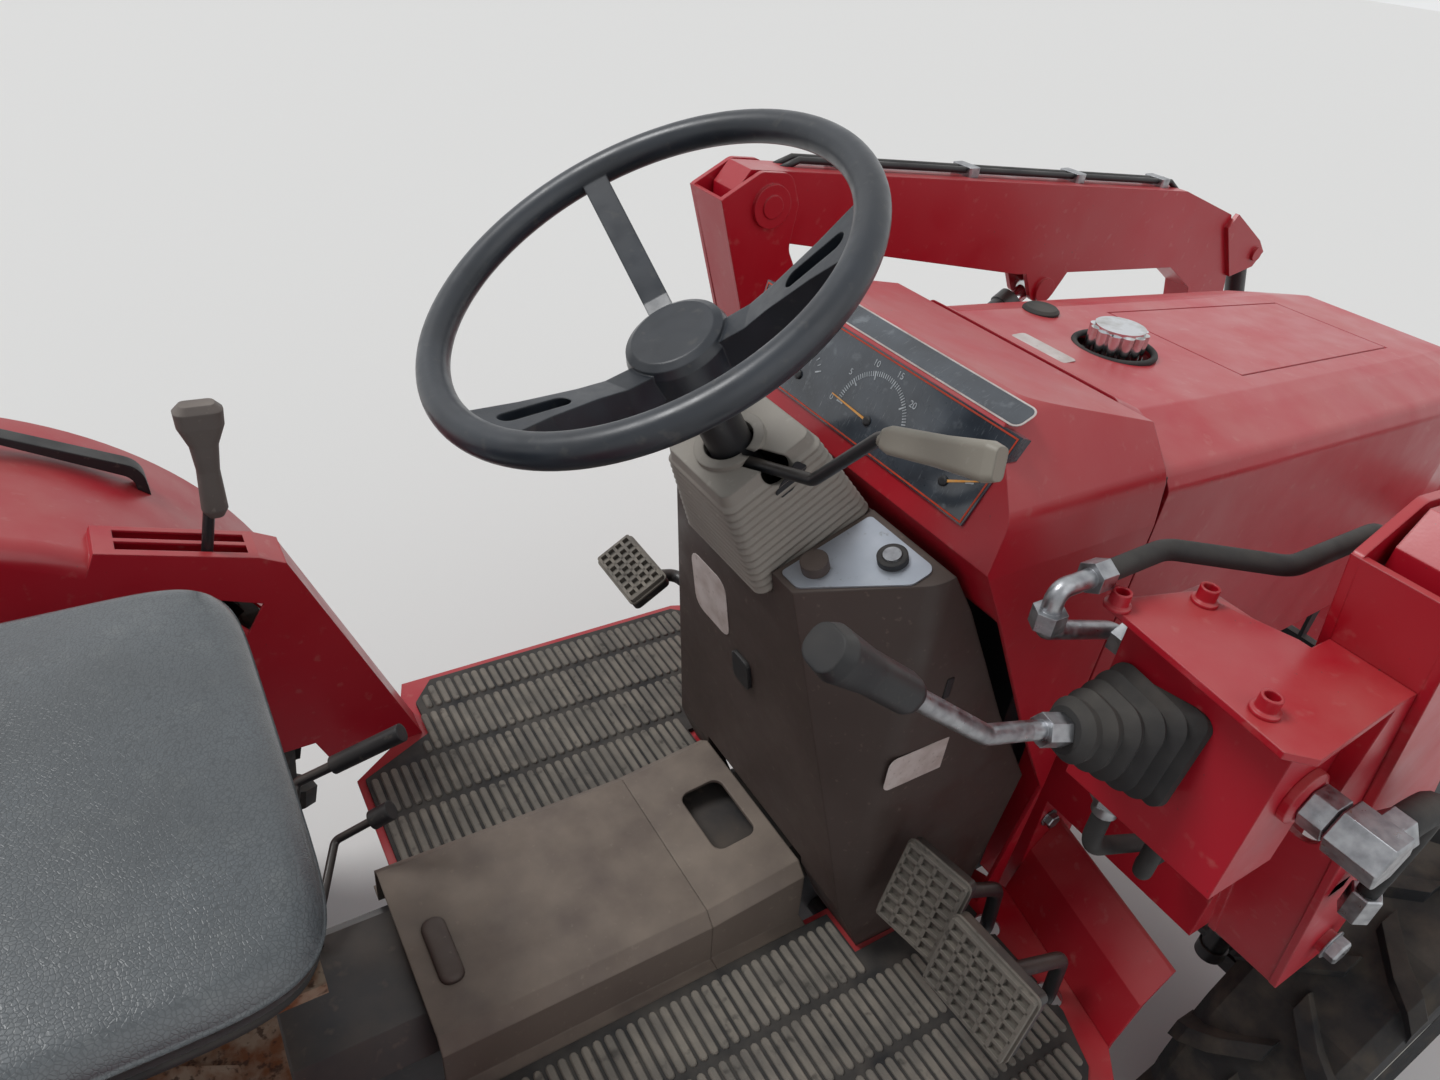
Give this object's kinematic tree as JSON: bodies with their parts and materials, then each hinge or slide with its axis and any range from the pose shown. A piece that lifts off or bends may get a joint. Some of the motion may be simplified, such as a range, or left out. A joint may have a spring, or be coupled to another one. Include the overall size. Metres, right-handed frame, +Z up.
{
  "type": "utility tractor with front loader",
  "caption": "Small red utility tractor with a front loader and bucket, open operator platform, roll bar and rear hitch.",
  "frame": {"origin": "on the ground, at the middle of the overall length and width", "axes": "+X forward, towards the bucket; +Y to the left of the driver; +Z up"},
  "size_m": [3.88, 1.38, 2.1179],
  "materials": {
    "tyre_rubber": "matte",
    "black_rubber": "matte",
    "red_paint": "satin",
    "rim_paint": "satin",
    "casting_paint": "satin",
    "dark_paint": "satin",
    "grey_metal": "satin",
    "chrome": "polished",
    "brown_plastic": "matte",
    "grey_plastic": "matte",
    "wheel_plastic": "satin",
    "vinyl": "satin",
    "lens": "clear",
    "clear_lens": "clear",
    "smoked_glass": "gloss",
    "rod_chrome": "polished"
  },
  "bodies": {
    "chassis": {"column_boot": "grey_plastic", "cowl": "red_paint", "engine_block": "casting_paint", "fender_left": "red_paint", "fender_right": "red_paint", "floor_mats": "black_rubber", "foot_guards": "red_paint", "footplates": "red_paint", "front_axle_beam": "casting_paint", "front_frame": "casting_paint", "fuel_cap": "chrome", "fuel_tank": "dark_paint", "grab_handles": "wheel_plastic", "hitch": "dark_paint", "hood_seal": "black_rubber", "hydraulic_fittings": "grey_metal", "hydraulic_hoses": "black_rubber", "instrument_panel": "smoked_glass", "lever_bellows": "black_rubber", "loader_joystick": "grey_metal", "loader_masts": "red_paint", "loader_valve": "red_paint", "pedals": "dark_paint", "pedestal": "brown_plastic", "range_lever": "brown_plastic", "rear_axle_housings": "casting_paint", "rear_lamps": "lens", "roll_bar": "dark_paint", "seat_back": "vinyl", "seat_base": "dark_paint", "seat_cushion": "vinyl", "steering_column": "dark_paint", "switch_plate": "grey_metal", "throttle_lever": "grey_metal", "transmission_case": "casting_paint", "tunnel_cover": "brown_plastic", "tunnel_front": "brown_plastic", "valve_cover": "red_paint"},
    "rear_wheel_left": {"rear_tyre_left": "tyre_rubber", "rear_rim_left": "rim_paint"},
    "rear_wheel_right": {"rear_tyre_right": "tyre_rubber", "rear_rim_right": "rim_paint"},
    "front_wheel_left": {"front_tyre_left": "tyre_rubber", "front_rim_left": "rim_paint"},
    "front_wheel_right": {"front_tyre_right": "tyre_rubber", "front_rim_right": "rim_paint"},
    "knuckle_l": {"knuckle_left": "casting_paint"},
    "knuckle_r": {"knuckle_right": "casting_paint"},
    "track_rod": {"tie_rod": "dark_paint"},
    "steering_rod": {"steering_ram_rod": "rod_chrome"},
    "wheel_hand": {"steering_wheel": "wheel_plastic"},
    "bonnet": {"hood": "red_paint", "grille": "dark_paint", "headlamps": "clear_lens"},
    "boom": {"loader_boom": "red_paint"},
    "lift_cylinders": {"lift_barrels": "dark_paint"},
    "lift_plungers": {"lift_rods": "rod_chrome"},
    "scoop": {"bucket": "red_paint"},
    "tilt_cylinders": {"tilt_barrels": "dark_paint"},
    "tilt_plungers": {"tilt_rods": "rod_chrome"}
  },
  "joints": [
    {"name": "rear_wheel_left_spin", "type": "hinge", "parent": "chassis", "child": "rear_wheel_left", "pos_m": [-1.15, 0.545, 0.455], "axis": [0, 1, 0], "continuous": true},
    {"name": "rear_wheel_right_spin", "type": "hinge", "parent": "chassis", "child": "rear_wheel_right", "pos_m": [-1.15, -0.545, 0.455], "axis": [0, 1, 0], "continuous": true},
    {"name": "steer", "type": "hinge", "parent": "chassis", "child": "knuckle_l", "pos_m": [0.45, 0.4, 0.33], "axis": [0, 0, 1], "range_deg": [-32, 32]},
    {"name": "steer_right", "type": "hinge", "parent": "chassis", "child": "knuckle_r", "pos_m": [0.45, -0.4, 0.33], "axis": [0, 0, 1], "range_deg": [-33, 33]},
    {"name": "steering_wheel_turn", "type": "hinge", "parent": "chassis", "child": "wheel_hand", "pos_m": [-0.436, 0, 1.296], "axis": [-0.515, 0, 0.8572], "range_deg": [-453, 453]},
    {"name": "tie_rod_swing", "type": "hinge", "parent": "knuckle_l", "child": "track_rod", "pos_m": [0.32, 0.4, 0.4], "axis": [0, 0, 1], "range_deg": [-33, 33]},
    {"name": "steering_ram_slide", "type": "slide", "parent": "chassis", "child": "steering_rod", "axis": [0, 1, 0], "range_m": [-0.0656, 0.0656]},
    {"name": "front_wheel_left_spin", "type": "hinge", "parent": "knuckle_l", "child": "front_wheel_left", "pos_m": [0.45, 0.54, 0.33], "axis": [0, 1, 0], "continuous": true},
    {"name": "front_wheel_right_spin", "type": "hinge", "parent": "knuckle_r", "child": "front_wheel_right", "pos_m": [0.45, -0.54, 0.33], "axis": [0, 1, 0], "continuous": true},
    {"name": "hood_tilt", "type": "hinge", "parent": "chassis", "child": "bonnet", "pos_m": [0.892, 0, 0.738], "axis": [0, 1, 0], "range_deg": [0, 45]},
    {"name": "loader_lift", "type": "hinge", "parent": "chassis", "child": "boom", "pos_m": [-0.001, 0, 1.194], "axis": [0, -1, 0], "range_deg": [0, 58]},
    {"name": "lift_cylinder_swing", "type": "hinge", "parent": "chassis", "child": "lift_cylinders", "pos_m": [0.15, 0, 0.69], "axis": [0, -1, 0], "range_deg": [0, 37.7]},
    {"name": "lift_rod_slide", "type": "slide", "parent": "lift_cylinders", "child": "lift_plungers", "axis": [0.8376, 0, 0.5462], "range_m": [0, 0.4457]},
    {"name": "bucket_tilt", "type": "hinge", "parent": "boom", "child": "scoop", "pos_m": [1.41, 0, 0.185], "axis": [0, -1, 0], "range_deg": [-40, 15]},
    {"name": "tilt_cylinder_swing", "type": "hinge", "parent": "boom", "child": "tilt_cylinders", "pos_m": [1.25, 0, 1.018], "axis": [0, -1, 0], "range_deg": [-4.92, 12.28]},
    {"name": "tilt_rod_slide", "type": "slide", "parent": "tilt_cylinders", "child": "tilt_plungers", "axis": [0.4377, 0, -0.8991], "range_m": [-0.0707, 0.1851]}
  ],
  "couplings": [
    {"joint": "steer_right", "follows": "steer", "ratio": 1},
    {"joint": "steering_wheel_turn", "follows": "steer", "ratio": 14},
    {"joint": "tie_rod_swing", "follows": "steer", "ratio": -1},
    {"joint": "steering_ram_slide", "follows": "steer", "m_per_rad": 0.11386},
    {"joint": "lift_cylinder_swing", "follows": "loader_lift", "ratio": 0.64142},
    {"joint": "lift_rod_slide", "follows": "loader_lift", "m_per_rad": 0.4383},
    {"joint": "tilt_cylinder_swing", "follows": "bucket_tilt", "ratio": -0.29461},
    {"joint": "tilt_rod_slide", "follows": "bucket_tilt", "m_per_rad": -0.26224}
  ]
}
